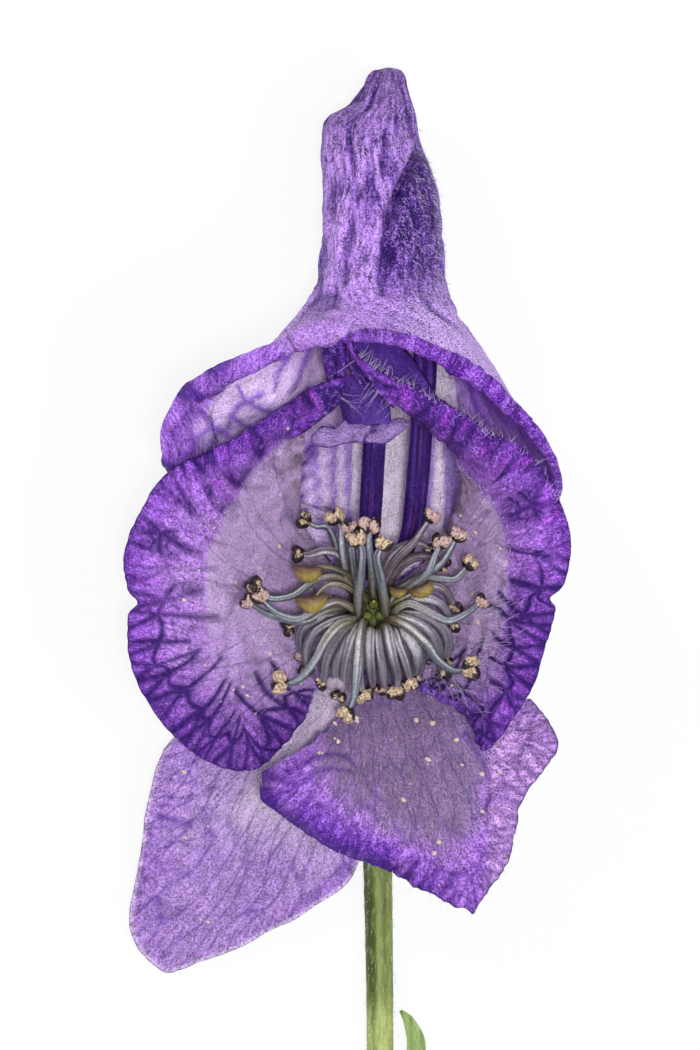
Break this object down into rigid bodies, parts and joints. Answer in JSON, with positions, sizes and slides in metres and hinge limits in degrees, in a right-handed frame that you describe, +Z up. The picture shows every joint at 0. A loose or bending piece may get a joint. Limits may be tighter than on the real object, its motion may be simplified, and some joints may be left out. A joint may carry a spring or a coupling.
{
  "type": "monkshood flower",
  "caption": "Single hooded violet flower lying on its back: tall helmet, two cupped side sepals, two lower sepals, stamens and a cut green stalk.",
  "frame": {"origin": "middle of the footprint, on the surface that the flower lies on", "axes": "+Y to the tip of the hood, +Z up out of the flower's face, +X to the right of someone looking into the flower"},
  "size_m": [0.0223, 0.0532, 0.0172],
  "materials": {
    "hood": "speckled violet, soft satin",
    "lateral_sepals": "violet rim, grey-lavender cup, soft satin",
    "lower_sepals": "pale lavender with violet veins, soft satin",
    "nectaries": "indigo, smooth satin",
    "stamens": "grey-green filaments with cream anthers",
    "carpels": "green, satin",
    "pedicel": "green with fine hairs",
    "bracteole": "pale green, satin"
  },
  "bodies": {
    "root": {"hood": "hood", "lateral_sepal_left": "lateral_sepals", "lateral_sepal_right": "lateral_sepals", "lower_sepal_left": "lower_sepals", "lower_sepal_right": "lower_sepals", "nectary_left": "nectaries", "nectary_right": "nectaries", "stamen_01": "stamens", "stamen_02": "stamens", "stamen_03": "stamens", "stamen_04": "stamens", "stamen_05": "stamens", "stamen_06": "stamens", "stamen_07": "stamens", "stamen_08": "stamens", "stamen_09": "stamens", "stamen_10": "stamens", "stamen_11": "stamens", "stamen_12": "stamens", "stamen_13": "stamens", "stamen_14": "stamens", "stamen_15": "stamens", "stamen_16": "stamens", "stamen_17": "stamens", "stamen_18": "stamens", "stamen_19": "stamens", "stamen_20": "stamens", "stamen_21": "stamens", "stamen_22": "stamens", "stamen_23": "stamens", "stamen_24": "stamens", "stamen_25": "stamens", "stamen_26": "stamens", "stamen_27": "stamens", "stamen_28": "stamens", "stamen_29": "stamens", "stamen_30": "stamens", "stamen_31": "stamens", "stamen_32": "stamens", "stamen_33": "stamens", "stamen_34": "stamens", "stamen_35": "stamens", "stamen_36": "stamens", "stamen_37": "stamens", "stamen_38": "stamens", "stamen_39": "stamens", "stamen_40": "stamens", "carpel_1": "carpels", "carpel_2": "carpels", "carpel_3": "carpels", "pedicel": "pedicel", "bracteole": "bracteole"}
  },
  "joints": []
}
